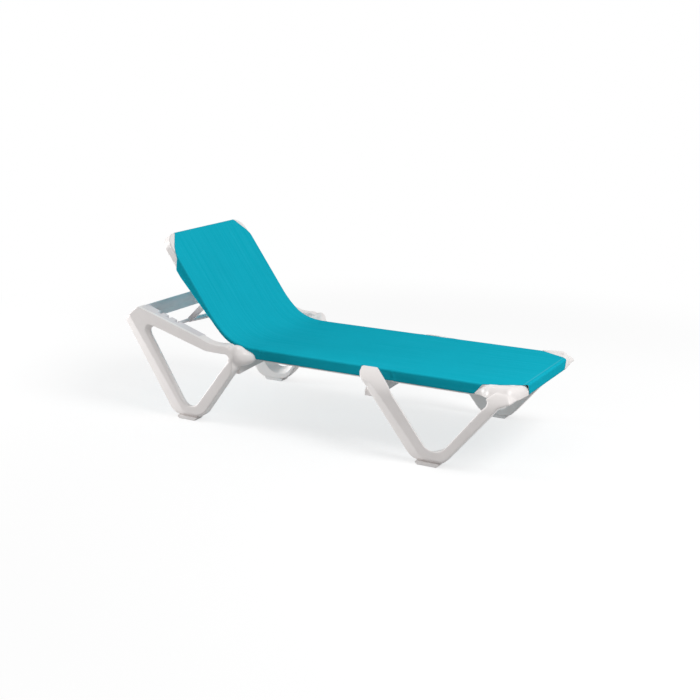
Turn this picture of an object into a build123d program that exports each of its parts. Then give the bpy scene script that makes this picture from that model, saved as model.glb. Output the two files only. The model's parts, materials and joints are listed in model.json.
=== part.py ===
from build123d import *
import math
import os

# Sling chaise lounge, millimetres. X runs from the head to the foot, Y across, Z up from the floor.
# The right side of the lounge is at -Y, and the left side mirrors it.

# Overall sizes
leg_span = 686.0
pad_spacing = 1074.0
sling_side_gap = 29.0
back_inset = 4.0
seat_top = 315.0
overrun = 20.0
face_gap = 0.3
quarter_turn = 90.0

# Sling cloth
cloth = 1.7
flap_drop = 42.7
hem_return = 20.0
strip_height = 4.0
strip_width = 28.0

# Rails
rail_height = 38.5
rail_width = 40.0
rail_wall = 3.2
rail_round = 6.0
seat_rail_foot_in = 112.0
fork_cheek = 10.0
fork_slot_depth = 24.0

# Leg moulding
leg_depth = 46.0
band_depth = 22.0
leg_sole = 12.0
opening_lip = 5.0
head_mouth_depth = 10.0
head_gap_lean = 36.0
foot_gap_lean = 30.0
hood_drop = 31.0
edge_round = 3.0

# Head leg, from the middle of its pad
head_crown_x = -228.5
head_crown_z = 442.0
head_tail_x = -306.5
head_tail_z = 380.0
head_band_x = -275.0
head_heel_x = -73.5
head_toe_x = 67.5
head_heel_round = 55.0
head_toe_round = 70.0
head_band_heel_x = -13.5
head_band_rise = 15.0
head_front_x = 241.0
head_front_z = 244.0
head_front_set_in = 13.0
head_bar_end_z = 347.0
head_bar_bend_x = 112.5
head_bar_bend_z = 337.0
head_bar_bend_round = 110.0
head_tip_round = 12.0
head_front_round = 45.0
head_front_low_round = 40.0
head_gap_rear_x = -198.5
head_gap_rear_z = 380.0
head_gap_low_x = 20.5
head_gap_low_z = 23.0
head_gap_front_x = 233.5
head_gap_front_z = 300.0
head_gap_bend_x = 100.5
head_gap_bend_z = 299.5
head_gap_rear_round = 23.0
head_mouth_rear = 24.0
head_mouth_rise = 10.0
head_mouth_low = 6.0
head_gap_low_round = 50.0
head_gap_front_round = 20.0
head_gap_bend_round = 80.0

# Hub that carries the seat rail on the head leg
hub_face_x = 220.0
hub_face_width = 36.0
hub_face_height = 50.0
hub_outer_x = 231.0
hub_outer_z = 301.0
hub_outer_width = 70.0
hub_outer_height = 84.0
hub_outer_set_in = 14.0
hub_inner_x = 241.0
hub_inner_z = 278.0
hub_inner_width = 110.0
hub_inner_height = 60.0

# Foot leg, from the middle of its pad
foot_hood_rear_x = -335.0
foot_hood_front_x = -220.7
foot_hood_rise = 31.0
foot_heel_x = -66.0
foot_toe_x = 58.7
foot_heel_round = 60.0
foot_toe_round = 45.0
foot_band_top_x = -286.0
foot_band_heel_x = -22.0
foot_band_rise = 15.0
foot_band_hood_round = 17.0
foot_strut_front_x = 304.0
foot_strut_rear_x = 253.0
foot_tip_front_x = 312.0
foot_tip_front_z = 274.0
foot_tip_top_x = 290.0
foot_tip_rear_x = 185.0
foot_tip_z = 300.0
foot_tip_round = 5.0
foot_flare_front_z = 258.0
foot_flare_front_round = 40.0
foot_flare_rear_z = 268.0
foot_flare_rear_round = 12.0
foot_lean_low_x = 7.6
foot_lean_low_z = 45.0
foot_lean_low_round = 21.0
foot_lean_top_in = 35.0
foot_gap_low_x = 24.3
foot_gap_low_z = 23.0
foot_gap_low_round = 58.0
hood_rear_round = 30.0
hood_front_round = 42.0
hood_top = 316.0
hood_spring_z = 235.0

# Foot corner cap, measured in from the foot end and from the leg's outer face
cap_foot_reach = 320.0
cap_foot_in = 81.0
cap_skirt_in = 172.0
cap_skirt_wall = 5.0
cap_skirt_end_in = 146.0
cap_bulge_in = 112.0
cap_bulge_side = 42.0
cap_side_in = 25.0
cap_side = 29.0
cap_end_in = 8.0
cap_end_side = 79.0
cap_base_z = 273.0
cap_round = 40.0
cap_inward = 70.0
cap_steps = [(13.0, 5.0), (10.0, 15.0), (8.0, 28.0), (7.0, 42.0), (6.0, 57.0)]
crown_skirt_in = 128.0
crown_rear_in = 92.0
crown_mid_in = 30.0
crown_mid_side = 12.0
crown_front_in = 12.0
crown_front_side = 57.0
crown_round = 22.0
bar_depth = 42.0

# Sling cut-outs, measured in from the foot end and from the sling's side
corner_cut_low_in = 181.0
corner_cut_rear_in = 141.0
corner_cut_gap = 2.0
corner_cut_mid_in = 101.0
corner_cut_mid_side = 16.0
corner_cut_front_in = 19.0
corner_cut_front_side = 61.0
corner_cut_end_side = 92.0
hood_cut_rear_x = -310.0
hood_cut_margin = 6.0
hood_cut_depth = 6.0
hub_cut_low_x = 303.0
hub_cut_top_x = 278.0
sling_rear_x = -308.0

# Backrest and its hinge
hinge_x = -335.0
hinge_pin_radius = 5.0
bush_wall = 2.0
running_gap = 0.06
tongue_gap = 0.5
back_start_angle = 29.0
back_angle = 54.7
back_bend_radius = 425.0
back_straight = 365.0
back_shoulder = 25.0
back_thin_depth = 15.5
back_thin_round = 5.0
back_taper = 190.0
back_corner_side = 150.0
back_corner_top = 62.0
back_corner_round = 55.0
back_cut_in = 64.0
back_cut_side = 148.0
back_sling_start = 29.0
lower_bar_s = 40.0
lower_bar_width = 34.0
lower_bar_height = 9.5
lower_bar_round = 4.0

# Prop bail
prop_pivot_s = 60.0
prop_pin_x = -604.0
prop_pin_z = 379.0
prop_pin_radius = 7.0
prop_arm_width = 20.0
prop_arm_thick = 16.0
prop_arm_gap = 1.0
prop_bar_radius = 10.0
prop_bow = 10.0
prop_pivot_radius = 6.0
bracket_width = 44.0
bracket_thick = 7.0
bracket_height = 30.0
bracket_drop = 4.0

# Notched racks
rack_head_x = -755.0
rack_foot_x = -473.0
rack_slope = 18.0
rack_width = 30.0
rack_wall = 13.0
rack_set_in = 16.0
notch_depth = 21.0
rack_above_pin = 10.0
rack_low_below_pin = 25.0
ledge_below_pin = 14.2
rack_end_round = 9.0
notch_pitch = 41.0
notch_count = 3
notch_radius = 8.0

# Head crossbar
crossbar_front_x = -767.0
crossbar_rear_x = -800.0
crossbar_top = 441.0
crossbar_bottom = 373.0
crossbar_rear_top = 412.0
crossbar_step = 5.0
crossbar_step_top = 418.0
crossbar_step_low = 395.0
crossbar_wall = 5.0

# Crossbeams under the seat
beam_depth = 62.0
beam_arch = 12.0
beam_wall = 4.0
beam_rib_count = 6
hip_beam_rear_x = -360.0
hip_beam_front_x = -304.0
foot_beam_rear_in = 279.0
foot_beam_front_in = 225.0

# Glides under the feet
glide_length = 92.0
glide_sole_length = 76.0
glide_step = 5.0

# Fasteners
bolt_radius = 4.0
bolt_head_radius = 7.5
bolt_head_height = 4.5
bolt_gap = 0.2
hub_bolt_x = 258.0
hub_bolt_spread = 34.0
hood_bolt_x = -272.0
hood_bolt_spread = 24.0

# Worked out from the sizes above
half_span = leg_span / 2
leg_inner = half_span - leg_depth
head_pad_x = -pad_spacing / 2
foot_pad_x = pad_spacing / 2
seat_half_width = leg_inner - sling_side_gap
back_half_width = seat_half_width - back_inset
cap_foot_x = foot_pad_x + cap_foot_reach
cap_foot_half = seat_half_width - cap_foot_in
seat_rail_foot_x = cap_foot_x - seat_rail_foot_in
rail_top = seat_top - cloth - face_gap
rail_bottom = rail_top - rail_height
rail_mid_z = rail_top - rail_height / 2
rail_outer = seat_half_width - cloth - face_gap
rail_inner = rail_outer - rail_width
back_outer = back_half_width - cloth - face_gap
back_inner = back_outer - rail_width
strip_z = rail_bottom - face_gap - cloth - face_gap - strip_height
half_depth = rail_height / 2


# Backrest path in side view: an arc that leaves the hinge, then a straight run
back_turn = back_angle - back_start_angle
back_arc_length = back_bend_radius * math.radians(back_turn)
back_chord = 2 * back_bend_radius * math.sin(math.radians(back_turn / 2))
back_chord_angle = back_start_angle + back_turn / 2
back_knee_x = hinge_x - back_chord * math.cos(math.radians(back_chord_angle))
back_knee_z = rail_mid_z + back_chord * math.sin(math.radians(back_chord_angle))
back_along_x = -math.cos(math.radians(back_angle))
back_along_z = math.sin(math.radians(back_angle))


def back_point(s, out=0.0):
    """A point in side view, s along the straight run from the knee and out towards the sitter."""
    x = back_knee_x + s * back_along_x + out * back_along_z
    z = back_knee_z + s * back_along_z - out * back_along_x
    return x, z


def arc_angle(distance):
    return back_start_angle + math.degrees(distance / back_bend_radius)


def arc_point(distance, out=0.0):
    """A point in side view, distance along the arc from the hinge and out towards the sitter."""
    chord = 2 * back_bend_radius * math.sin(distance / back_bend_radius / 2)
    chord_angle = math.radians((back_start_angle + arc_angle(distance)) / 2)
    lean = math.radians(arc_angle(distance))
    x = hinge_x - chord * math.cos(chord_angle) + out * math.sin(lean)
    z = rail_mid_z + chord * math.sin(chord_angle) + out * math.cos(lean)
    return x, z


prop_pivot_x, prop_pivot_z = back_point(prop_pivot_s)
back_plane = Plane(
    origin=(back_knee_x, 0, back_knee_z),
    x_dir=(back_along_x, 0, back_along_z),
    z_dir=(back_along_z, 0, -back_along_x),
)


def side_plane(y):
    """A side view plane at y, whose normal points to -Y."""
    return Plane(origin=(0, y, 0), x_dir=(1, 0, 0), z_dir=(0, -1, 0))


def outline(points, radii, plane):
    return make_face(plane * FilletPolyline(*points, radius=radii, close=True))


def side_solid(points, radii, y_near, y_far):
    """An outline in side view, extruded from y_far out to y_near."""
    return extrude(outline(points, radii, side_plane(y_far)), amount=y_far - y_near)


def block(x_low, x_high, y_low, y_high, z_low, z_high):
    size = Box(x_high - x_low, y_high - y_low, z_high - z_low)
    return Pos((x_low + x_high) / 2, (y_low + y_high) / 2, (z_low + z_high) / 2) * size


def cross_rod(radius, x, z, y_low, y_high):
    """A round bar that runs across the lounge."""
    return Pos(x, (y_low + y_high) / 2, z) * Rot(quarter_turn, 0, 0) * Cylinder(radius, y_high - y_low)


def other_side(shape):
    return mirror(shape, about=Plane.XZ)


def opening_cut(points, radii, lean_angle, mouth, lip):
    """The gap inside a leg: from its mouth to a lip, then leaning back towards the inside."""
    lip_y = -half_span + lip
    outside = side_solid(mouth, radii, -half_span - overrun, -half_span)
    throat = loft(
        [outline(mouth, radii, side_plane(-half_span)), outline(points, radii, side_plane(lip_y))], ruled=True
    )
    return outside + throat + lean_cut(points, radii, lip, lean_angle)


def lean_cut(points, radii, lip, lean_angle):
    edge = outline(points, radii, side_plane(-half_span + lip))
    return extrude(edge, amount=-(half_span - lip - rail_outer + overrun), taper=-lean_angle)


def banded_plate(rim, rim_radii, face, face_radii):
    """A leg plate whose rim slopes back from a smaller front face as a broad band."""
    band_y = -half_span + band_depth
    back = side_solid(rim, rim_radii, band_y, -leg_inner)
    front = loft(
        [outline(rim, rim_radii, side_plane(band_y)), outline(face, face_radii, side_plane(-half_span))],
        ruled=True,
    )
    return back + front


def on_line(start, end, z):
    share = (z - start[1]) / (end[1] - start[1])
    return (start[0] + share * (end[0] - start[0]), z)


# Head leg
def at_head(x, z):
    return (head_pad_x + x, z)


def head_leg():
    crown = at_head(head_crown_x, head_crown_z)
    tail = at_head(head_tail_x, head_tail_z)
    heel = at_head(head_heel_x, leg_sole)
    toe = at_head(head_toe_x, leg_sole)
    front = at_head(head_front_x, head_front_z)
    shoulder = at_head(head_front_x, head_bar_end_z)
    bend = at_head(head_bar_bend_x, head_bar_bend_z)
    band_share = (head_band_x - head_tail_x) / (head_crown_x - head_tail_x)
    band_top = at_head(head_band_x, head_tail_z + band_share * (head_crown_z - head_tail_z))
    band_heel = at_head(head_band_heel_x, leg_sole + head_band_rise)
    band_toe = on_line(toe, front, leg_sole + head_band_rise)
    rest = [front, shoulder, bend]
    rest_radii = [head_front_low_round, head_front_round, head_bar_bend_round]
    rim_radii = [head_tip_round, head_tip_round, head_heel_round, head_toe_round] + rest_radii
    face_front = on_line(toe, front, head_front_z - head_front_set_in)
    face_shoulder = at_head(head_front_x - head_front_set_in, head_bar_end_z - head_front_set_in / 3)
    face = [crown, band_top, band_heel, band_toe, face_front, face_shoulder, bend]
    plate = banded_plate([crown, tail, heel, toe] + rest, rim_radii, face, rim_radii)
    gap = [
        at_head(head_gap_rear_x, head_gap_rear_z),
        at_head(head_gap_low_x, head_gap_low_z),
        at_head(head_gap_front_x, head_gap_front_z),
        at_head(head_gap_bend_x, head_gap_bend_z),
    ]
    gap_radii = [head_gap_rear_round, head_gap_low_round, head_gap_front_round, head_gap_bend_round]
    mouth = [
        at_head(head_gap_rear_x - head_mouth_rear, head_gap_rear_z + head_mouth_rise),
        at_head(head_gap_low_x - head_mouth_low, head_gap_low_z - head_mouth_low / 2),
    ]
    leg = plate - opening_cut(gap, gap_radii, head_gap_lean, mouth + gap[2:], head_mouth_depth)
    leg = leg - side_solid(rack_band(-rack_above_pin - overrun), [0, 0, 0, 0], rack_outer(), 0)
    swelling = hub() - side_solid(gap, gap_radii, -half_span - overrun, -leg_inner)
    return leg + swelling - hub_bolt_holes()


def hub():
    """The swelling that carries the seat rail, from the leg's face in to the rail's side."""
    face = side_plane(-half_span) * Pos(head_pad_x + hub_face_x, hub_outer_z)
    outer = side_plane(-half_span + hub_outer_set_in) * Pos(head_pad_x + hub_outer_x, hub_outer_z)
    inner = side_plane(-rail_outer) * Pos(head_pad_x + hub_inner_x, hub_inner_z)
    swelling = loft(
        [
            face * Ellipse(hub_face_width / 2, hub_face_height / 2),
            outer * Ellipse(hub_outer_width / 2, hub_outer_height / 2),
            inner * Ellipse(hub_inner_width / 2, hub_inner_height / 2),
        ]
    )
    beam_top = rail_bottom - leg_sole
    beam_low = beam_top - beam_depth
    return swelling - block(hip_beam_rear_x, hip_beam_front_x, -leg_inner, 0, beam_low, beam_top)


# Foot leg
def at_foot(x, z):
    return (foot_pad_x + x, z)


def hood_profile():
    """Across the lounge: upright below the spring line, then a quarter round in to the rail."""
    reach = half_span - rail_outer
    rise = hood_top - hood_spring_z
    half_share = math.sqrt(2) / 2
    knee = (-rail_outer - reach * half_share, hood_spring_z + rise * half_share)
    shelf_z = rail_bottom - leg_sole
    with BuildSketch(Plane.YZ) as profile:
        with BuildLine():
            Line((-half_span, 0), (-half_span, hood_spring_z))
            ThreePointArc((-half_span, hood_spring_z), knee, (-rail_outer, hood_top))
            Line((-rail_outer, hood_top), (-rail_outer, shelf_z))
            Line((-rail_outer, shelf_z), (-leg_inner, shelf_z - hood_drop))
            Line((-leg_inner, shelf_z - hood_drop), (-leg_inner, 0))
            Line((-leg_inner, 0), (-half_span, 0))
        make_face()
    return profile.sketch


def foot_leg():
    rim_top = hood_top + foot_hood_rise
    hood_rear = at_foot(foot_hood_rear_x, rim_top)
    heel = at_foot(foot_heel_x, leg_sole)
    toe = at_foot(foot_toe_x, leg_sole)
    strut_front = at_foot(foot_strut_front_x, foot_tip_z)
    strut_rear = at_foot(foot_strut_rear_x, foot_tip_z)
    gap_low = at_foot(foot_gap_low_x, foot_gap_low_z)
    hood_front = at_foot(foot_hood_front_x, rim_top)
    band_top = at_foot(foot_band_top_x, rim_top)
    band_heel = at_foot(foot_band_heel_x, leg_sole + foot_band_rise)
    band_toe = on_line(toe, strut_front, leg_sole + foot_band_rise)
    rest = [
        on_line(toe, strut_front, foot_flare_front_z),
        at_foot(foot_tip_front_x, foot_tip_front_z),
        at_foot(foot_tip_top_x, foot_tip_z),
        at_foot(foot_tip_rear_x, foot_tip_z),
        on_line(gap_low, strut_rear, foot_flare_rear_z),
        gap_low,
        hood_front,
    ]
    tip_radii = [foot_tip_round, foot_tip_round, foot_tip_round]
    flared_radii = [foot_flare_front_round] + tip_radii + [foot_flare_rear_round]
    rest_radii = flared_radii + [foot_gap_low_round, hood_front_round]
    radii = [hood_rear_round, foot_heel_round, foot_toe_round] + rest_radii
    face_radii = [foot_band_hood_round, foot_heel_round, foot_toe_round] + rest_radii
    rim = [hood_rear, heel, toe] + rest
    band_y = -half_span + band_depth
    back = side_solid(rim, radii, band_y, -rail_outer)
    front = loft(
        [
            outline(rim, radii, side_plane(band_y)),
            outline([band_top, band_heel, band_toe] + rest, face_radii, side_plane(-half_span)),
        ],
        ruled=True,
    )
    low_x = foot_pad_x + foot_hood_rear_x - overrun
    leg_length = foot_tip_front_x - foot_hood_rear_x + 2 * overrun
    across = Pos(low_x, 0, 0) * extrude(hood_profile(), amount=leg_length)
    leg = ((back + front) & across) - foot_gap_cut(gap_low, strut_rear, hood_front, rim_top + overrun)
    return leg + corner_cap() - hood_bolt_holes()


def foot_gap_cut(gap_low, strut_rear, hood_front, above):
    """Leans the hood side of the gap back towards the inside, and keeps the strut's full depth."""
    lean_low = at_foot(foot_lean_low_x, foot_lean_low_z)
    strut_x, strut_z = on_line(gap_low, strut_rear, above)
    points = [on_line(gap_low, hood_front, above), lean_low, (strut_x - foot_lean_top_in, strut_z)]
    return lean_cut(points, [0, foot_lean_low_round, 0], opening_lip, foot_gap_lean)


def corner_cap():
    """The domed moulding that joins the side rail and the end bar at the foot."""
    skirt_x = cap_foot_x - cap_skirt_in
    skirt = [(skirt_x, -rail_outer), (skirt_x, -rail_outer - cap_skirt_wall)]
    outside = [
        (cap_foot_x - cap_skirt_end_in, -rail_outer - cap_skirt_wall),
        (cap_foot_x - cap_bulge_in, -half_span + cap_bulge_side),
        (cap_foot_x - cap_side_in, -half_span + cap_side),
        (cap_foot_x - cap_end_in, -half_span + cap_end_side),
        (cap_foot_x, -cap_foot_half),
    ]
    outside_radii = [cap_round, cap_round, cap_round, cap_round, 0]
    seat = [
        (cap_foot_x - bar_depth, -cap_foot_half),
        (cap_foot_x - bar_depth, -rail_inner),
        (seat_rail_foot_x, -rail_inner),
        (seat_rail_foot_x, -rail_outer),
    ]
    crown_edge = [
        (cap_foot_x - crown_front_in, -seat_half_width + crown_front_side),
        (cap_foot_x - crown_mid_in, -seat_half_width + crown_mid_side),
        (cap_foot_x - crown_rear_in, -seat_half_width + crown_mid_side),
        (cap_foot_x - crown_skirt_in, -rail_outer),
    ]
    plan = Plane.XY.offset(cap_base_z)
    height = sum(step for step, taper in cap_steps)
    base = outline(skirt + outside + seat, [0, 0] + outside_radii + [0, 0, 0, 0], plan)
    lower = extrude(base, rail_top - cap_base_z)
    rim = outline(skirt + outside + crown_edge, [0, 0] + outside_radii + [0, crown_round, 0, 0], plan)
    return (lower + extrude(rim, height)) & cap_dome(outside, outside_radii) - cap_room()


def cap_dome(outside, outside_radii):
    """The cap's rounded outside, as stacked tapers of its plan carried on under the sling."""
    start = [
        (cap_foot_x - cap_skirt_in - cap_inward, -cap_foot_half + cap_inward),
        (cap_foot_x - cap_skirt_in - cap_inward, -rail_outer - cap_skirt_wall),
    ]
    end = [(cap_foot_x, -cap_foot_half + cap_inward)]
    radii = [0, 0] + outside_radii + [0]
    face = outline(start + outside + end, radii, Plane.XY.offset(cap_base_z))
    dome = None
    for step, taper in cap_steps:
        layer = extrude(face, amount=step, taper=taper)
        dome = layer if dome is None else dome + layer
        face = layer.faces().sort_by(Axis.Z)[-1]
    return dome


def cap_room():
    """Space for the seat rail's end and for the slanted end of the sling's side flap."""
    rail = block(cap_foot_x - cap_skirt_in - overrun, seat_rail_foot_x, -rail_outer, 0, rail_bottom, rail_top)
    low = seat_top - flap_drop
    top = seat_top + overrun
    points = [
        (cap_foot_x - corner_cut_low_in - cap_inward, low),
        (cap_foot_x - corner_cut_low_in + corner_cut_gap, low),
        (corner_cut_x(top) + corner_cut_gap, top),
        (cap_foot_x - corner_cut_low_in - cap_inward, top),
    ]
    return rail + side_solid(points, [0, 0, 0, 0], -rail_outer - overrun, 0)


def corner_cut_x(z):
    """The slanted end of the sling's side flap at the foot corner."""
    start = (cap_foot_x - corner_cut_low_in, seat_top - flap_drop)
    end = (cap_foot_x - corner_cut_rear_in, seat_top)
    return on_line(start, end, z)[0]


# Rails and bars of the seat
def hollow_bar(length, width, height):
    """A rounded hollow bar along X, centred."""
    outer = RectangleRounded(width, height, rail_round)
    inner = RectangleRounded(width - 2 * rail_wall, height - 2 * rail_wall, rail_round - rail_wall / 2)
    return extrude(Plane.YZ.offset(-length / 2) * (outer - inner), amount=length)


def seat_rail():
    mid_y = -(rail_outer + rail_inner) / 2
    solid_end_x = hinge_x + fork_slot_depth + rail_wall
    length = seat_rail_foot_x - solid_end_x
    mid_x = (seat_rail_foot_x + solid_end_x) / 2
    tube = Pos(mid_x, mid_y, rail_mid_z) * hollow_bar(length, rail_width, rail_height)
    end = block(hinge_x, solid_end_x, -rail_outer, -rail_inner, rail_bottom, rail_top)
    end = end + cross_rod(rail_height / 2, hinge_x, rail_mid_z, -rail_outer, -rail_inner)
    slot_low = -rail_outer + fork_cheek
    slot_high = -rail_inner - fork_cheek
    slot_x = hinge_x - rail_height
    slot_end_x = hinge_x + fork_slot_depth
    slot = block(slot_x, slot_end_x, slot_low, slot_high, rail_bottom - overrun, rail_top + overrun)
    hole_radius = hinge_pin_radius + running_gap
    hole = cross_rod(hole_radius, hinge_x, rail_mid_z, -rail_outer - overrun, -rail_inner + overrun)
    return tube + end - slot - hole - hub_bolt_holes() - hood_bolt_holes()


def foot_end_bar():
    width = bar_depth - rail_wall
    bar = Rot(0, 0, quarter_turn) * hollow_bar(2 * cap_foot_half, width, rail_height)
    return Pos(cap_foot_x - cloth - face_gap - width / 2, 0, rail_mid_z) * bar


def crossbeam(rear_x, front_x, haunch):
    """A moulded beam, open underneath, with an arched lower edge and upright ribs."""
    low = rail_bottom - beam_depth
    shelf_z = rail_bottom - leg_sole
    with BuildSketch(Plane.YZ) as sketch:
        with BuildLine():
            Polyline(
                (-leg_inner, low),
                (-leg_inner, shelf_z - haunch),
                (-rail_outer, shelf_z),
                (-rail_outer, rail_bottom),
                (rail_outer, rail_bottom),
                (rail_outer, shelf_z),
                (leg_inner, shelf_z - haunch),
                (leg_inner, low),
            )
            ThreePointArc((leg_inner, low), (0, low + beam_arch), (-leg_inner, low))
        make_face()
    beam = Pos(rear_x, 0, 0) * extrude(sketch.sketch, amount=front_x - rear_x)
    bay = 2 * rail_outer / beam_rib_count
    for index in range(beam_rib_count):
        y_low = -rail_outer + index * bay + beam_wall
        y_high = y_low + bay - 2 * beam_wall
        beam = beam - block(
            rear_x + beam_wall, front_x - beam_wall, y_low, y_high, low - overrun, shelf_z - beam_wall
        )
    return beam


def head_crossbar():
    """An open channel across the head, with a stepped face and a sloped rear shoulder."""
    front = crossbar_front_x
    step = crossbar_step
    outer = [
        (front, crossbar_top),
        (crossbar_rear_x + step, crossbar_rear_top + step),
        (crossbar_rear_x, crossbar_rear_top),
        (crossbar_rear_x, crossbar_bottom),
        (crossbar_rear_x + crossbar_wall, crossbar_bottom),
        (crossbar_rear_x + crossbar_wall, crossbar_rear_top - crossbar_wall),
        (front - 2 * step, crossbar_step_top - crossbar_wall / 2),
        (front - 2 * step, crossbar_bottom),
        (front - step, crossbar_bottom),
        (front - step, crossbar_step_low),
        (front, crossbar_step_top),
    ]
    radii = [3 * edge_round / 2, edge_round, 0, 0, 0, 0, 0, 0, 0, 0, 0]
    return side_solid(outer, radii, -leg_inner, leg_inner)


# Racks on the inner side of the head legs
rack_rise = math.tan(math.radians(rack_slope))


def pin_line(x, below):
    """Height of the prop pin's line over the rack, less a distance square to the rack."""
    return prop_pin_z - (x - prop_pin_x) * rack_rise - below / math.cos(math.radians(rack_slope))


def rack_band(below):
    """The side outline of a rack from a distance below the pin's line down to its underside."""
    return [
        (rack_head_x, pin_line(rack_head_x, below)),
        (rack_head_x, pin_line(rack_head_x, rack_low_below_pin)),
        (rack_foot_x, pin_line(rack_foot_x, rack_low_below_pin)),
        (rack_foot_x, pin_line(rack_foot_x, below)),
    ]


def rack_outer():
    return -half_span + rack_set_in


def rack():
    wall_y = -leg_inner + rack_wall
    ledge_round = rack_end_round / 2
    bar = side_solid(rack_band(-rack_above_pin), [0, 0, 0, 0], rack_outer(), wall_y)
    bar = bar + side_solid(
        rack_band(ledge_below_pin), [0, 0, ledge_round, ledge_round], wall_y, -leg_inner + rack_width
    )
    for index in range(notch_count):
        x = prop_pin_x - index * notch_pitch
        z = pin_line(x, 0)
        bar = bar - cross_rod(notch_radius, x, z, wall_y - notch_depth, wall_y)
        bar = bar - block(x - notch_radius, x + notch_radius, wall_y - notch_depth, wall_y, z, z + overrun)
    return bar


# Glides
def glide(pad_x):
    half = glide_length / 2
    sole = glide_sole_length / 2
    points = [
        (pad_x - sole, 0),
        (pad_x + sole, 0),
        (pad_x + half, leg_sole - glide_step),
        (pad_x + half, leg_sole),
        (pad_x - half, leg_sole),
        (pad_x - half, leg_sole - glide_step),
    ]
    return side_solid(points, [0, 0, 0, 0, 0, 0], -half_span, -leg_inner)


# Backrest
def sweep_arc(profile, start):
    """Sweeps a profile, drawn across and out, along the arc from a distance past the hinge to the knee."""
    start_x, start_z = arc_point(start)
    mid_x, mid_z = arc_point((start + back_arc_length) / 2)
    path = ThreePointArc((start_x, 0, start_z), (mid_x, 0, mid_z), (back_knee_x, 0, back_knee_z))
    lean = math.radians(arc_angle(start))
    x, z = arc_point(start)
    plane = Plane(origin=(x, 0, z), x_dir=(0, -1, 0), z_dir=(-math.cos(lean), 0, math.sin(lean)))
    return sweep(plane * profile, path=Wire([path.edge()]))


def back_depth(s, full, thin):
    """The depth of the backrest's side at s along the straight run, which tapers towards the knee."""
    return thin + (full - thin) * s / back_taper


def top_flush(width, depth, rounding):
    """A rounded section whose top side is flush with the top of the rail."""
    return Pos(0, half_depth - depth / 2) * RectangleRounded(width, depth, rounding)


def section_plane(s):
    """A plane square to the straight run, drawn across and out."""
    x, z = back_point(s)
    return Plane(origin=(x, 0, z), x_dir=(0, -1, 0), z_dir=(back_along_x, 0, back_along_z))


def back_rail():
    mid_y = -(back_outer + back_inner) / 2
    end = back_straight - back_corner_side
    thin = top_flush(rail_width, back_thin_depth, back_thin_round)
    deep = top_flush(rail_width, rail_height, rail_round)
    side = Pos(-mid_y, 0)
    low_part = sweep_arc(side * thin, back_shoulder)
    taper = loft([section_plane(0) * side * thin, section_plane(back_taper) * side * deep])
    inner_width = rail_width - 2 * rail_wall
    start_depth = back_depth(2 * rail_wall, rail_height, back_thin_depth) - 2 * rail_wall
    start_room = Pos(-mid_y, half_depth - rail_wall - start_depth / 2) * RectangleRounded(
        inner_width, start_depth, back_thin_round - rail_wall / 2
    )
    bore_section = RectangleRounded(inner_width, rail_height - 2 * rail_wall, rail_round - rail_wall / 2)
    room = loft([section_plane(2 * rail_wall) * start_room, section_plane(back_taper) * side * bore_section])
    tube = extrude(section_plane(back_taper) * side * (deep - bore_section), amount=end - back_taper)
    slot_low = -rail_outer + fork_cheek + tongue_gap
    slot_high = -rail_inner - fork_cheek - tongue_gap
    eye_radius = half_depth - tongue_gap
    tongue = cross_rod(eye_radius, hinge_x, rail_mid_z, slot_low, slot_high)
    reach = back_shoulder + rail_wall
    web_low = half_depth - back_thin_depth
    web = Box(reach, slot_high - slot_low, eye_radius - web_low)
    web = Pos(-reach / 2, 0, (eye_radius + web_low) / 2) * web
    tongue = tongue + Pos(hinge_x, (slot_low + slot_high) / 2, rail_mid_z) * Rot(0, back_start_angle, 0) * web
    bore_radius = hinge_pin_radius + bush_wall
    bore = cross_rod(bore_radius, hinge_x, rail_mid_z, slot_low - overrun, slot_high + overrun)
    return low_part + (taper - room) + tube + tongue - bore


def hinge_bush():
    slot_low = -rail_outer + fork_cheek + tongue_gap
    slot_high = -rail_inner - fork_cheek - tongue_gap
    ring = cross_rod(hinge_pin_radius + bush_wall, hinge_x, rail_mid_z, slot_low, slot_high)
    bore_radius = hinge_pin_radius + running_gap
    return ring - cross_rod(bore_radius, hinge_x, rail_mid_z, slot_low - overrun, slot_high + overrun)


def hinge_pin():
    return cross_rod(hinge_pin_radius, hinge_x, rail_mid_z, -rail_outer, -rail_inner)


def back_corner():
    """The rounded elbow between a back rail and the top bar, in the plane of the backrest."""
    side_y = (back_outer + back_inner) / 2
    top_s = back_straight - half_depth
    start_s = back_straight - back_corner_side
    end_y = back_outer - back_corner_top
    path = back_plane * FilletPolyline(
        (start_s, side_y), (top_s, side_y), (top_s, end_y), radius=back_corner_round - rail_width / 2
    )
    section = RectangleRounded(rail_width, rail_height, rail_round)
    place = back_plane.location * Pos(start_s, side_y, 0) * Rot(0, quarter_turn, 0) * Rot(0, 0, quarter_turn)
    return sweep(place * section, path=path.wire())


def back_top_bar():
    length = 2 * (back_outer - back_corner_top)
    place = back_plane.location * Pos(back_straight - half_depth, 0, 0) * Rot(0, 0, quarter_turn)
    return place * hollow_bar(length, rail_height, rail_height)


def back_lower_bar():
    """The cross tie near the hinge, between the two back rails."""
    length = 2 * back_inner
    distance = back_arc_length - lower_bar_s
    x, z = arc_point(distance, half_depth - back_thin_depth + lower_bar_height / 2)
    section = RectangleRounded(lower_bar_width, lower_bar_height, lower_bar_round)
    place = Pos(x, 0, z) * Rot(0, arc_angle(distance), 0) * Rot(0, 0, quarter_turn)
    return place * extrude(Plane.YZ.offset(-length / 2) * section, amount=length)


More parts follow.
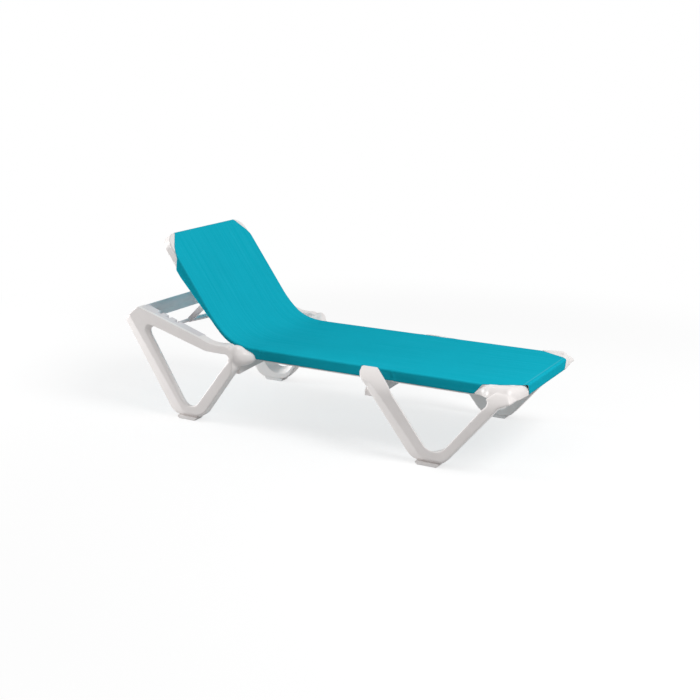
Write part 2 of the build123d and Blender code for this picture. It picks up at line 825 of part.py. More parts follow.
def prop_bracket():
    """The boss plate on the inner side of a back rail that carries the prop's pivot."""
    plate = Pos(0, 0, -bracket_drop) * Box(bracket_width, bracket_thick, bracket_height)
    plate = fillet(plate.edges().filter_by(Axis.Y), rail_round)
    place = Pos(prop_pivot_x, -back_inner + bracket_thick / 2, prop_pivot_z) * Rot(0, back_angle, 0)
    hole_low = -back_inner - overrun
    hole = cross_rod(prop_pivot_radius, prop_pivot_x, prop_pivot_z, hole_low, hole_low + 2 * overrun)
    return place * plate - hole


def arm_y_low():
    return -back_inner + bracket_thick + prop_arm_gap


def arm_y_high():
    return arm_y_low() + prop_arm_thick


def prop_pivot_pin():
    return cross_rod(prop_pivot_radius, prop_pivot_x, prop_pivot_z, -back_inner, arm_y_high())


# Prop
def prop_bail():
    """Two flat arms joined by a bowed round bar."""
    length = math.hypot(prop_pin_x - prop_pivot_x, prop_pin_z - prop_pivot_z)
    along = (prop_pin_x - prop_pivot_x) / length, (prop_pin_z - prop_pivot_z) / length
    bow_x = -along[1] * prop_bow
    bow_z = along[0] * prop_bow
    arm_mid = (arm_y_low() + arm_y_high()) / 2
    ends = (prop_pin_x, arm_mid, prop_pin_z), (prop_pin_x, -arm_mid, prop_pin_z)
    middle = (prop_pin_x + bow_x, 0, prop_pin_z + bow_z)
    path = ThreePointArc(ends[0], middle, ends[1])
    start = Plane(origin=ends[0], z_dir=path % 0)
    bar = sweep(start * Circle(prop_bar_radius), path=Wire([path]))
    angle = math.degrees(math.atan2(-along[1], -along[0]))
    web = Box(length, prop_arm_thick, prop_arm_width)
    centre = Pos((prop_pin_x + prop_pivot_x) / 2, arm_mid, (prop_pin_z + prop_pivot_z) / 2)
    arm = centre * Rot(0, -angle, 0) * web
    arm = arm + cross_rod(prop_arm_width / 2, prop_pin_x, prop_pin_z, arm_y_low(), arm_y_high())
    arm = arm + cross_rod(prop_arm_width / 2, prop_pivot_x, prop_pivot_z, arm_y_low(), arm_y_high())
    bail = bar + arm + other_side(arm)
    bore = cross_rod(prop_pivot_radius + running_gap, prop_pivot_x, prop_pivot_z, -back_outer, 0)
    bail = bail - bore - other_side(bore)
    return bail


def prop_end_pin():
    pin_y_low = -leg_inner + rack_wall + tongue_gap
    return cross_rod(prop_pin_radius, prop_pin_x, prop_pin_z, pin_y_low, arm_y_low())


# Sling
def seat_sling():
    """The seat's length of cloth: top, side flaps, foot flap and the hems turned under the rails."""
    foot_x = cap_foot_x + face_gap
    low = seat_top - flap_drop
    skin = block(sling_rear_x, foot_x, -seat_half_width, seat_half_width, low, seat_top)
    inner_y = seat_half_width - cloth
    skin = skin - block(
        sling_rear_x - overrun, foot_x - cloth, -inner_y, inner_y, low + cloth, seat_top - cloth
    )
    under_y = seat_half_width - hem_return
    under_x = foot_x - hem_return
    skin = skin - block(sling_rear_x - overrun, under_x, -under_y, under_y, low - overrun, low + 2 * cloth)
    for cut in (foot_corner_cut(), hood_cut(), hub_cut()):
        skin = skin - cut - other_side(cut)
    return skin


def foot_corner_cut():
    rear_x = cap_foot_x - corner_cut_rear_in
    end_half = seat_half_width - corner_cut_end_side
    far_x = cap_foot_x + overrun
    far_y = seat_half_width + overrun
    points = [
        (rear_x, -seat_half_width + 2 * cloth),
        (cap_foot_x - corner_cut_mid_in, -seat_half_width + corner_cut_mid_side),
        (cap_foot_x - corner_cut_front_in, -seat_half_width + corner_cut_front_side),
        (cap_foot_x, -end_half),
        (far_x, -end_half),
        (far_x, -far_y),
        (rear_x, -far_y),
    ]
    radii = [0, rail_width, rail_width / 2, 0, 0, 0, 0]
    low = seat_top - flap_drop - overrun
    top = seat_top + overrun
    edge = extrude(outline(points, radii, Plane.XY.offset(low)), amount=top - low)
    hem_half = cap_foot_half - 2 * cloth
    hem = block(corner_cut_x(low), far_x, -far_y, -hem_half, low, rail_bottom)
    slant = [(corner_cut_x(low), low), (far_x, low), (far_x, top), (corner_cut_x(top), top)]
    side = side_solid(slant, [0, 0, 0, 0], -far_y, -seat_half_width + 2 * cloth)
    return edge + hem + side


def hood_cut_front(z):
    """The foot side of the cut-out for the hood, which follows the hood's edge next to the sling."""
    rim_top = hood_top + foot_hood_rise
    run = foot_gap_low_x - foot_hood_front_x
    drop = rim_top - foot_gap_low_z
    lean = (half_span - opening_lip - seat_half_width) * math.tan(math.radians(foot_gap_lean))
    back = lean * math.hypot(run, drop) / drop - hood_cut_margin
    strap_top = at_foot(foot_hood_front_x - back, rim_top)
    strap_low = at_foot(foot_gap_low_x - back, foot_gap_low_z)
    return on_line(strap_top, strap_low, z)


def hood_cut():
    rear = foot_pad_x + hood_cut_rear_x
    top = seat_top + overrun
    low = seat_top - flap_drop - overrun
    points = [(rear, low), hood_cut_front(low), hood_cut_front(top), (rear, top)]
    notch = side_solid(points, [0, 0, 0, 0], -seat_half_width - overrun, -seat_half_width + hood_cut_depth)
    under = block(rear, hood_cut_front(low)[0], -seat_half_width - overrun, -rail_inner, low, rail_bottom)
    return notch + under


def hub_cut_front(z):
    """The foot side of the cut-out for the hub, which slants with the hub's outline."""
    low = at_head(hub_cut_low_x, seat_top - flap_drop)
    top = at_head(hub_cut_top_x, seat_top)
    return on_line(low, top, z)


def hub_cut():
    low = seat_top - flap_drop - overrun
    top = seat_top + overrun
    rear = sling_rear_x - overrun
    points = [(rear, low), hub_cut_front(low), hub_cut_front(top), (rear, top)]
    notch = side_solid(points, [0, 0, 0, 0], -seat_half_width - overrun, -seat_half_width + hood_cut_depth)
    under = block(rear, hub_cut_front(low)[0], -seat_half_width - overrun, -rail_inner, low, rail_bottom)
    return notch + under


def clamp_strip(x_low, x_high):
    y_low = -rail_outer + rail_wall
    return block(x_low, x_high, y_low, y_low + strip_width, strip_z, strip_z + strip_height)


def seat_clamp_strips():
    rear_x = hub_cut_front(rail_bottom - overrun)[0] + hood_cut_margin
    rear = clamp_strip(rear_x, foot_pad_x + hood_cut_rear_x - hood_cut_margin)
    front_x = hood_cut_front(rail_bottom - overrun)[0] + 2 * hood_cut_margin
    front = clamp_strip(front_x, cap_foot_x - cap_skirt_in - hood_cut_margin)
    return rear, front


def back_flap(drop):
    """A section of the back's cloth: top, two side flaps and the hems turned under the rails."""
    half = back_half_width
    under = half - hem_return
    top = half_depth + face_gap + cloth
    low = top - drop
    points = [
        (-half, top),
        (-half, low),
        (-under, low),
        (-under, low + cloth),
        (-half + cloth, low + cloth),
        (-half + cloth, top - cloth),
        (half - cloth, top - cloth),
        (half - cloth, low + cloth),
        (under, low + cloth),
        (under, low),
        (half, low),
        (half, top),
    ]
    return make_face(Polyline(*points, close=True))


def back_sling():
    """The backrest's length of cloth, with flaps round the rails and a hem over the top bar."""
    thin = back_flap(back_thin_depth + 2 * (cloth + face_gap))
    deep = back_flap(rail_height + 2 * (cloth + face_gap))
    skin = sweep_arc(thin, back_sling_start)
    skin = skin + loft([section_plane(0) * thin, section_plane(back_taper) * deep], ruled=True)
    skin = skin + extrude(section_plane(back_taper) * deep, amount=back_straight - back_taper)
    drop = rail_height + 2 * (cloth + face_gap)
    low = half_depth + face_gap + cloth - drop
    end = Box(cloth, 2 * back_half_width, drop)
    skin = skin + back_plane.location * Pos(back_straight + cloth / 2, 0, low + drop / 2) * end
    under = back_plane.location * Pos(back_straight - hem_return / 2, 0, low + cloth / 2)
    skin = skin + under * Box(hem_return, 2 * back_half_width - 2 * cloth, cloth)
    cut = back_corner_cut()
    return skin - cut - other_side(cut)


def back_corner_cut():
    side_s = back_straight - back_cut_side
    far_s = back_straight + overrun
    far_y = back_half_width + overrun
    points = [
        (side_s, back_half_width),
        (back_straight - back_corner_top, back_half_width - 2 * cloth - rail_wall),
        (back_straight, back_half_width - back_cut_in),
        (far_s, back_half_width - back_cut_in),
        (far_s, far_y),
        (side_s, far_y),
    ]
    face = outline(points, [0, 0, 0, 0, 0, 0], Plane.XY.offset(-rail_height - overrun))
    return back_plane.location * extrude(face, amount=2 * rail_height + 2 * overrun)


# Fasteners
def hub_bolt_places():
    middle = head_pad_x + hub_bolt_x
    return [(middle - hub_bolt_spread / 2, rail_mid_z), (middle + hub_bolt_spread / 2, rail_mid_z)]


def hood_bolt_places():
    middle = foot_pad_x + hood_bolt_x
    return [(middle - hood_bolt_spread / 2, rail_mid_z), (middle + hood_bolt_spread / 2, rail_mid_z)]


def bolt_holes(places):
    first, second = places
    low = -rail_outer - overrun
    high = -rail_inner + overrun
    radius = bolt_radius + bolt_gap
    return cross_rod(radius, *first, low, high) + cross_rod(radius, *second, low, high)


def hub_bolt_holes():
    return bolt_holes(hub_bolt_places())


def hood_bolt_holes():
    return bolt_holes(hood_bolt_places())


def leg_bolts():
    bolts = []
    for x, z in hub_bolt_places() + hood_bolt_places():
        shank = cross_rod(bolt_radius, x, z, -rail_outer - overrun, -rail_inner)
        head = cross_rod(bolt_head_radius, x, z, -rail_inner, -rail_inner + bolt_head_height)
        bolt = shank + head
        bolts = bolts + [bolt, other_side(bolt)]
    return bolts


right_head_leg = head_leg()
middle_x = (right_head_leg.bounding_box().min.X + cap_foot_x + face_gap) / 2


def write(name, shape):
    shift = Pos(-middle_x, 0, 0)
    if isinstance(shape, (list, tuple)):
        moved = Compound([shift * part.solid() for part in shape])
    else:
        moved = shift * shape
    export_step(moved, "parts/" + name + ".step")


def write_pair(name, shape):
    write(name + "_right", shape)
    if isinstance(shape, (list, tuple)):
        write(name + "_left", [other_side(part) for part in shape])
    else:
        write(name + "_left", other_side(shape))


os.makedirs("parts", exist_ok=True)
write_pair("head_leg", right_head_leg)
write_pair("foot_leg", foot_leg())
write_pair("seat_rail", seat_rail())
write_pair("rack", rack())
write_pair("head_glide", glide(head_pad_x))
write_pair("foot_glide", glide(foot_pad_x))
write_pair("hinge_pin", hinge_pin())
write_pair("hinge_bush", hinge_bush())
write_pair("seat_clamp_strips", seat_clamp_strips())
write("foot_end_bar", foot_end_bar())
write("head_crossbar", head_crossbar())
write("hip_crossbeam", crossbeam(hip_beam_rear_x, hip_beam_front_x, 0))
foot_beam_rear_x = foot_pad_x - foot_beam_rear_in
foot_beam_front_x = foot_pad_x - foot_beam_front_in
write("foot_crossbeam", crossbeam(foot_beam_rear_x, foot_beam_front_x, hood_drop))
write("leg_bolts", leg_bolts())
write("seat_sling", seat_sling())
write_pair("back_rail", back_rail())
write_pair("back_corner", back_corner())
write("back_top_bar", back_top_bar())
write("back_lower_bar", back_lower_bar())
write_pair("prop_bracket", prop_bracket())
write_pair("prop_pivot_pin", prop_pivot_pin())
write("back_sling", back_sling())
write("prop_bail", prop_bail())
write_pair("prop_end_pin", prop_end_pin())
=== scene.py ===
import json
import math

import bmesh
import bpy
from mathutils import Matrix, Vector


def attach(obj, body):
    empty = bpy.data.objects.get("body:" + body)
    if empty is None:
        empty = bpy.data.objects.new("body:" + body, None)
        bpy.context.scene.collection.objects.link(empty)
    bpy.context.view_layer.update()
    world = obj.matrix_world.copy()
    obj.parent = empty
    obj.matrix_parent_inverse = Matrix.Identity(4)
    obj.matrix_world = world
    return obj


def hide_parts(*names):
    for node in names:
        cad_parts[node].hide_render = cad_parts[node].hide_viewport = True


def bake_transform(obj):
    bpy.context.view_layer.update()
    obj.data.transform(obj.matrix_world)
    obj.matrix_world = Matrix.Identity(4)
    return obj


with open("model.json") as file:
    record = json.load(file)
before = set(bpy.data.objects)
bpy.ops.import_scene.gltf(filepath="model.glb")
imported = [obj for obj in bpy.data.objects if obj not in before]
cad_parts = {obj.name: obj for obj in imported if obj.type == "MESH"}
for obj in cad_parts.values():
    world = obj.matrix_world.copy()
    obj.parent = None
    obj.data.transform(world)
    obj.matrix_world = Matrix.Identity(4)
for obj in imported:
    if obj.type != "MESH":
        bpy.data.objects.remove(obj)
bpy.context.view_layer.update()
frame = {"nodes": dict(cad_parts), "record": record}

# The row frame against the frame the photograph was measured in
SHIFT = -0.0088522

# Sling, metres in the measured frame
CLOTH = 0.0015
HALF = 0.268
TOP_Z = 0.315
FLAP = 0.0427
HEM = 0.020
EDGE = 0.007
FLAT = HALF - EDGE
BEND = EDGE * math.pi / 2
LOW_EDGE = FLAT + 2 * BEND + FLAP - 2 * EDGE
FOOT_X = 0.8573
SEAT_BLEND_X = -0.215
BACK_BLEND_S = 0.085
BLEND_PULL = 1.05
BACK_ABOVE_Z = TOP_Z + 0.060
BACK_BEFORE_X = -0.42
END_FACE_X = FOOT_X - 0.004
END_HALF = 0.194
END_TAPER = 0.012

# The back rails' curve in side view, which the cloth follows at a small lift
HINGE = (-0.335, 0.29375)
ARC_FROM = math.radians(29.0)
ARC_TO = math.radians(54.7)
ARC_R = 0.425
STRAIGHT = 0.365
LIFT = 0.02125
ARC_LENGTH = ARC_R * (ARC_TO - ARC_FROM)
RAIL_LENGTH = ARC_LENGTH + STRAIGHT

# Steps of the cloth's mesh
BACK_STEPS = 130
BLEND_STEPS = 60
SEAT_STEPS = 330
HALF_STEPS = 40

# The side flap by the hinge and up the backrest
FULL_FLAP_X = -0.290
HINGE_FLAP = 0.0175
BACK_FLAP = 0.0195
LEAST_BACK_FLAP = 0.0165
BACK_FLAP_RUN = 0.190

# The sag of the cloth's top face, which fades out before both ends and the rails
SAG = 0.005
SAG_HALF = 0.222
SAG_ENDS = 0.130
SAG_FADE = 0.200

# Weave, the side flaps' darkening (partly the doubled hem, partly painted shade) and the stitched line by
# the foot end
WEFT_PITCH = 0.0016
WARP_PITCH = 0.0014
HEM_AND_SHADE_FROM = HALF - EDGE + 0.002
HEM_AND_SHADE_FADE = 0.008
STITCH_FROM_END = 0.071


def new_material(name):
    material = bpy.data.materials.new(name)
    material.use_nodes = True
    tree = material.node_tree
    return material, tree, tree.nodes["Principled BSDF"]


def link(tree, source, target):
    tree.links.new(source, target)


def coords(tree, kind="Object"):
    return tree.nodes.new("ShaderNodeTexCoord").outputs[kind]


def noise(tree, vector, scale, detail=3.0, rough=0.55):
    node = tree.nodes.new("ShaderNodeTexNoise")
    node.inputs["Scale"].default_value = scale
    node.inputs["Detail"].default_value = detail
    node.inputs["Roughness"].default_value = rough
    link(tree, vector, node.inputs["Vector"])
    return node.outputs["Fac"]


def ramp(tree, fac, low, high, colour_low, colour_high):
    node = tree.nodes.new("ShaderNodeValToRGB")
    node.color_ramp.elements[0].position = low
    node.color_ramp.elements[1].position = high
    node.color_ramp.elements[0].color = (*colour_low, 1)
    node.color_ramp.elements[1].color = (*colour_high, 1)
    link(tree, fac, node.inputs["Fac"])
    return node.outputs["Color"]


def grey(level):
    return (level, level, level)


def spread(tree, fac, low, high):
    node = tree.nodes.new("ShaderNodeMapRange")
    node.inputs["To Min"].default_value = low
    node.inputs["To Max"].default_value = high
    link(tree, fac, node.inputs["Value"])
    return node.outputs["Result"]


def reckon(tree, operation, first, second=None):
    """A sum on one socket, with a plain number or another socket as its second term."""
    node = tree.nodes.new("ShaderNodeMath")
    node.operation = operation
    link(tree, first, node.inputs[0])
    if isinstance(second, float):
        node.inputs[1].default_value = second
    elif second is not None:
        link(tree, second, node.inputs[1])
    return node.outputs[0]


def mixed(tree, kind, factor, first, second):
    node = tree.nodes.new("ShaderNodeMix")
    node.data_type = "RGBA"
    node.blend_type = kind
    node.inputs["Factor"].default_value = factor
    link(tree, first, node.inputs["A"])
    link(tree, second, node.inputs["B"])
    return node.outputs["Result"]


def bump(tree, height, strength, distance, normal=None):
    node = tree.nodes.new("ShaderNodeBump")
    node.inputs["Strength"].default_value = strength
    node.inputs["Distance"].default_value = distance
    link(tree, height, node.inputs["Height"])
    if normal is not None:
        link(tree, normal, node.inputs["Normal"])
    return node.outputs["Normal"]


def resin(name, pale, shade, rough_low, rough_high):
    """Moulded resin: a little mottled, finely grained, with softened edges."""
    material, tree, shader = new_material(name)
    place = coords(tree)
    mottle = noise(tree, place, 9.0, 4.0)
    link(tree, ramp(tree, mottle, 0.3, 0.7, shade, pale), shader.inputs["Base Color"])
    wear = noise(tree, place, 34.0, 5.0)
    link(tree, spread(tree, wear, rough_low, rough_high), shader.inputs["Roughness"])
    edges = tree.nodes.new("ShaderNodeBevel")
    edges.samples = 4
    edges.inputs["Radius"].default_value = 0.003
    grain = noise(tree, place, 900.0, 2.0)
    ripple = noise(tree, place, 16.0, 2.0)
    smooth = bump(tree, ripple, 0.25, 0.0012, edges.outputs["Normal"])
    link(tree, bump(tree, grain, 0.12, 0.0002, smooth), shader.inputs["Normal"])
    shader.inputs["Specular IOR Level"].default_value = 0.5
    return material


def weave_cloth():
    """A fine woven mesh with faint streaks, darker on the side flaps where the hem doubles it and with
    painted shade there, stitched by the foot end.
    """
    material, tree, shader = new_material("sling_mesh")
    uv = coords(tree, "UV")
    split = tree.nodes.new("ShaderNodeSeparateXYZ")
    link(tree, uv, split.inputs["Vector"])
    along, across = split.outputs["X"], split.outputs["Y"]

    waves = [
        reckon(tree, "SINE", reckon(tree, "MULTIPLY", axis, 2 * math.pi / pitch))
        for axis, pitch in ((along, WEFT_PITCH), (across, WARP_PITCH))
    ]
    weave = spread(tree, reckon(tree, "MULTIPLY", waves[0], waves[1]), 0.0, 1.0)
    weave.node.inputs["From Min"].default_value = -1.0

    stretch = tree.nodes.new("ShaderNodeMapping")
    stretch.inputs["Scale"].default_value = (2.2, 95.0, 1.0)
    link(tree, uv, stretch.inputs["Vector"])
    streaks = noise(tree, stretch.outputs["Vector"], 1.0, 4.0, 0.6)
    base = ramp(tree, streaks, 0.32, 0.72, (0.006, 0.452, 0.588), (0.013, 0.486, 0.634))

    cloud = ramp(tree, noise(tree, uv, 5.0, 3.0), 0.25, 0.75, grey(0.90), grey(1.0))
    clouded = mixed(tree, "MULTIPLY", 0.5, base, cloud)
    side = reckon(tree, "ABSOLUTE", across)
    # Painted shade: the side flaps are darkened partly for the doubled hem and partly for the shade that
    # falls on them
    hem_and_flap_shade = ramp(tree, side, HEM_AND_SHADE_FROM, HEM_AND_SHADE_FROM + HEM_AND_SHADE_FADE, grey(1.0), grey(0.78))
    doubled_and_shaded = mixed(tree, "MULTIPLY", 1.0, clouded, hem_and_flap_shade)
    seam = reckon(tree, "ABSOLUTE", reckon(tree, "ADD", along, STITCH_FROM_END))
    thread = ramp(tree, seam, 0.0008, 0.0022, (0.05, 0.07, 0.07), grey(0.0))
    stitched = mixed(tree, "SCREEN", 1.0, doubled_and_shaded, thread)
    gaps = ramp(tree, weave, 0.1, 0.8, grey(0.6), grey(1.0))
    yarn = mixed(tree, "MULTIPLY", 0.4, stitched, gaps)

    link(tree, yarn, shader.inputs["Base Color"])
    link(tree, spread(tree, streaks, 0.55, 0.75), shader.inputs["Roughness"])
    link(tree, bump(tree, weave, 0.35, 0.0003), shader.inputs["Normal"])
    shader.inputs["Specular IOR Level"].default_value = 0.0
    return material


def steel():
    material, tree, shader = new_material("bright_steel")
    place = coords(tree)
    shader.inputs["Metallic"].default_value = 1.0
    tone = ramp(tree, noise(tree, place, 60.0), 0.3, 0.7, (0.48, 0.48, 0.49), (0.62, 0.62, 0.63))
    link(tree, tone, shader.inputs["Base Color"])
    link(tree, spread(tree, noise(tree, place, 300.0), 0.25, 0.45), shader.inputs["Roughness"])
    return material


WHITE = resin("white_resin", (0.86, 0.82, 0.805), (0.82, 0.78, 0.765), 0.30, 0.46)
# The prop's darker resin, its tones set to the shaded crossbar and racks; on those it is painted shade
PROP_RESIN_AND_SHADE = resin("prop_resin_and_painted_shade", (0.73, 0.69, 0.70), (0.67, 0.63, 0.64), 0.32, 0.50)
PADS = resin("pad_resin", (0.84, 0.81, 0.80), (0.78, 0.75, 0.74), 0.50, 0.70)
DARK = resin("bush_resin", (0.25, 0.25, 0.26), (0.18, 0.18, 0.19), 0.45, 0.65)
METAL = steel()
CLOTH_LOOK = weave_cloth()

SLOT_LOOK = {
    "resin": WHITE,
    "prop_resin": PROP_RESIN_AND_SHADE,
    "glide": PADS,
    "bush": DARK,
    "steel": METAL,
    "cloth": CLOTH_LOOK,
}
# Painted shade: the head crossbar and the racks, shaded by the backrest, take the darker resin instead of
# the white
PAINTED_SHADE_NODES = ("head_crossbar", "rack_right", "rack_left")
slot_of = {part["node"]: part["material_slot"] for part in frame["record"]["subparts"]}
for node, piece in frame["nodes"].items():
    look = PROP_RESIN_AND_SHADE if node in PAINTED_SHADE_NODES else SLOT_LOOK[slot_of[node]]
    for place in piece.material_slots:
        place.material = look


def ease(value):
    value = min(max(value, 0.0), 1.0)
    return value * value * (3 - 2 * value)


def bake_modifiers(piece):
    """Leaves the modifiers' result in the piece's own mesh."""
    depsgraph = bpy.context.evaluated_depsgraph_get()
    final = bpy.data.meshes.new_from_object(piece.evaluated_get(depsgraph))
    piece.modifiers.clear()
    piece.data = final


def dress(piece, look):
    """One look and smooth shading all over the piece."""
    piece.data.materials.clear()
    piece.data.materials.append(look)
    for polygon in piece.data.polygons:
        polygon.use_smooth = True
        polygon.material_index = 0


# Leg mouldings, metres in the measured frame
HALF_SPAN = 0.343
BAND_DEPTH = 0.022
SHOWN_DEPTH = 0.015
BAND_FADE = 0.030
SLACK = 0.0005
WELD = 0.00001
VOXEL = 0.002
KEPT_FACES = 0.35
SHOULDER_DROP = 0.010
HUB_BACK = 0.004
HUB_TOP_BACK = 0.009
HOOD_FORWARD = 0.007
HOOD_REARWARD = 0.012


def outside_crease(x, z, crease_line):
    """Whether a side view point lies on a leg's band, behind the crease line or below its foot."""
    (x0, z0), (x1, z1) = crease_line
    return z < z1 - SLACK or (x - x0) * (z1 - z0) - (z - z0) * (x1 - x0) > SLACK


def settle_head(x, z):
    """The shoulder before the hub lies a little lower, and the hub ends short of the sling's flap."""
    drop = SHOULDER_DROP * ease((x + 0.460) / 0.090) * ease((z - 0.290) / 0.035)
    back = (HUB_BACK + HUB_TOP_BACK * ease((z - 0.265) / 0.050)) * ease((x + 0.300) / 0.045)
    return -back, -drop


def settle_foot(x, z):
    """The hood swells a little to the front and the rear of its strut."""
    high = ease((z - 0.245) / 0.035) * (1 - ease((x - 0.400) / 0.050))
    forward = HOOD_FORWARD * high * ease((x - 0.262) / 0.025)
    rearward = HOOD_REARWARD * high * ease((0.240 - x) / 0.025)
    return forward - rearward, 0.0


def shallow_band(mesh, crease_line, fade_z):
    """Brings a leg's band nearer to its outer face, below the height where that fades out."""
    work = bmesh.new()
    work.from_mesh(mesh)
    bmesh.ops.remove_doubles(work, verts=work.verts, dist=WELD)
    for vertex in work.verts:
        depth = HALF_SPAN - abs(vertex.co.y)
        behind = outside_crease(vertex.co.x - SHIFT, vertex.co.z, crease_line)
        if depth < BAND_DEPTH + SLACK and behind:
            keep = ease((vertex.co.z - fade_z) / BAND_FADE)
            ratio = keep + (1 - keep) * SHOWN_DEPTH / BAND_DEPTH
            vertex.co.y = math.copysign(HALF_SPAN - depth * ratio, vertex.co.y)
    work.to_mesh(mesh)
    work.free()


def soft_weight(point, soft_spots):
    weight = 0.0
    for centre, reach in soft_spots:
        place = (centre[0] + SHIFT, math.copysign(centre[1], point.y), centre[2])
        away = (point - Vector(place)).length
        weight = max(weight, ease(1.5 * (1 - away / reach)))
    return weight


def moulded_leg(node, crease_line, fade_z, soft_spots, rounds, settle):
    """The leg as one soft moulding: its band shallow, its edges rounded and its swellings blended."""
    mesh = frame["nodes"][node].data.copy()
    shallow_band(mesh, crease_line, fade_z)
    piece = bpy.data.objects.new(node + "_moulding", mesh)
    bpy.context.collection.objects.link(piece)
    remesh = piece.modifiers.new("remesh", "REMESH")
    remesh.mode = "VOXEL"
    remesh.voxel_size = VOXEL
    remesh.use_smooth_shade = True
    relax = piece.modifiers.new("relax", "SMOOTH")
    relax.factor = 0.5
    relax.iterations = 4
    bake_modifiers(piece)
    group = piece.vertex_groups.new(name="soft")
    for vertex in piece.data.vertices:
        forward, upward = settle(vertex.co.x - SHIFT, vertex.co.z)
        vertex.co.x += forward
        vertex.co.z += upward
        weight = soft_weight(vertex.co, soft_spots)
        if weight > 0:
            group.add([vertex.index], weight, "REPLACE")
    blend = piece.modifiers.new("blend", "SMOOTH")
    blend.factor = 0.5
    blend.iterations = rounds
    blend.vertex_group = "soft"
    thin = piece.modifiers.new("thin", "DECIMATE")
    thin.ratio = KEPT_FACES
    bake_modifiers(piece)
    dress(piece, WHITE)
    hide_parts(node)
    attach(piece, "base")


def make_legs():
    head_crease = ((-0.812, 0.405), (-0.5505, 0.027))
    foot_crease = ((0.251, 0.347), (0.515, 0.027))
    hub = [((-0.305, 0.330, 0.330), 0.060), ((-0.300, 0.330, 0.262), 0.060)]
    hood_and_cap = [
        ((0.237, 0.330, 0.330), 0.060), ((0.320, 0.330, 0.315), 0.050),
        ((0.840, 0.330, 0.265), 0.075), ((0.765, 0.330, 0.280), 0.060),
    ]
    for side in ("right", "left"):
        moulded_leg("head_leg_" + side, head_crease, 0.600, hub, 30, settle_head)
        moulded_leg("foot_leg_" + side, foot_crease, 0.225, hood_and_cap, 80, settle_foot)


def arc_point(s, out):
    """Side view point at s along the back rails' curve, lifted out towards the sitter, with its lean."""
    if s <= ARC_LENGTH:
        lean = ARC_FROM + s / ARC_R
        chord = 2 * ARC_R * math.sin(s / ARC_R / 2)
        slope = (ARC_FROM + lean) / 2
        x = HINGE[0] - chord * math.cos(slope)
        z = HINGE[1] + chord * math.sin(slope)
    else:
        lean = ARC_TO
        chord = 2 * ARC_R * math.sin((ARC_TO - ARC_FROM) / 2)
        slope = (ARC_FROM + ARC_TO) / 2
        x = HINGE[0] - chord * math.cos(slope) - (s - ARC_LENGTH) * math.cos(lean)
        z = HINGE[1] + chord * math.sin(slope) + (s - ARC_LENGTH) * math.sin(lean)
    return x + out * math.sin(lean), z + out * math.cos(lean), lean


def back_points():
    """The cloth's outer face from the hem behind the top bar to where the backrest's curve ends."""
    points = []
    low = LIFT - FLAP
    for index in range(4):
        points.append(arc_point(RAIL_LENGTH - HEM + HEM * 0.7 * index / 3, low)[:2])
    out_from, out_to = low + EDGE, LIFT - EDGE
    for index in range(7):
        out = out_from + (out_to - out_from) * index / 6
        points.append(arc_point(RAIL_LENGTH + CLOTH, out)[:2])
    end = RAIL_LENGTH + CLOTH - EDGE
    for index in range(1, 6):
        angle = math.pi / 2 * index / 6
        s, out = end + EDGE * math.cos(angle), LIFT - EDGE + EDGE * math.sin(angle)
        points.append(arc_point(s, out)[:2])
    for index in range(BACK_STEPS + 1):
        points.append(arc_point(end - (end - BACK_BLEND_S) * index / BACK_STEPS, LIFT)[:2])
    return points


def blend_points():
    """A smooth curve between the backrest's curve and the level seat."""
    points = []
    x1, z1, lean = arc_point(BACK_BLEND_S, LIFT)
    x0, z0 = SEAT_BLEND_X, TOP_Z
    reach = math.hypot(x1 - x0, z1 - z0) * BLEND_PULL
    t1 = (math.cos(lean) * reach, -math.sin(lean) * reach)
    t0 = (reach, 0.0)
    for index in range(1, BLEND_STEPS):
        t = index / BLEND_STEPS
        h00 = 2 * t**3 - 3 * t**2 + 1
        h10 = t**3 - 2 * t**2 + t
        h01 = -2 * t**3 + 3 * t**2
        h11 = t**3 - t**2
        points.append((
            h00 * x1 + h10 * t1[0] + h01 * x0 + h11 * t0[0],
            h00 * z1 + h10 * t1[1] + h01 * z0 + h11 * t0[1],
        ))
    return points


def seat_points():
    """The level seat, the turn over the foot bar and the hem under it."""
    points = []
    start, end = SEAT_BLEND_X, FOOT_X - EDGE
    for index in range(SEAT_STEPS + 1):
        points.append((start + (end - start) * index / SEAT_STEPS, TOP_Z))
    for index in range(1, 6):
        angle = math.pi / 2 * (1 - index / 6)
        points.append((end + EDGE * math.cos(angle), TOP_Z - EDGE + EDGE * math.sin(angle)))
    for index in range(7):
        points.append((FOOT_X, TOP_Z - EDGE - (FLAP - 2 * EDGE) * index / 6))
    for index in range(1, 5):
        angle = -math.pi / 2 * index / 4
        points.append((end + EDGE * math.cos(angle), TOP_Z - FLAP + EDGE + EDGE * math.sin(angle)))
    points.append((FOOT_X - HEM, TOP_Z - FLAP))
    return points


def cross_columns(drop):
    """Across the cloth: (distance from the middle along the cloth, y, drop below the top face)."""
    columns = []
    for index in range(HALF_STEPS + 1):
        columns.append((FLAT * index / HALF_STEPS, FLAT * index / HALF_STEPS, 0.0))
    for index in range(1, 6):
        angle = math.pi / 2 * index / 6
        columns.append((
            FLAT + BEND * index / 6,
            FLAT + EDGE * math.sin(angle),
            EDGE - EDGE * math.cos(angle),
        ))
    fall = drop - 2 * EDGE
    for index in range(9):
        columns.append((FLAT + BEND + fall * index / 8, HALF, EDGE + fall * index / 8))
    for index in range(1, 6):
        angle = math.pi / 2 * index / 5
        columns.append((
            FLAT + BEND + fall + BEND * index / 5,
            FLAT + EDGE * math.cos(angle),
            drop - EDGE + EDGE * math.sin(angle),
        ))
    for index in range(1, 4):
        turned_in = (HEM - EDGE) * index / 3
        columns.append((FLAT + 2 * BEND + fall + turned_in, FLAT - turned_in, drop))
    return columns


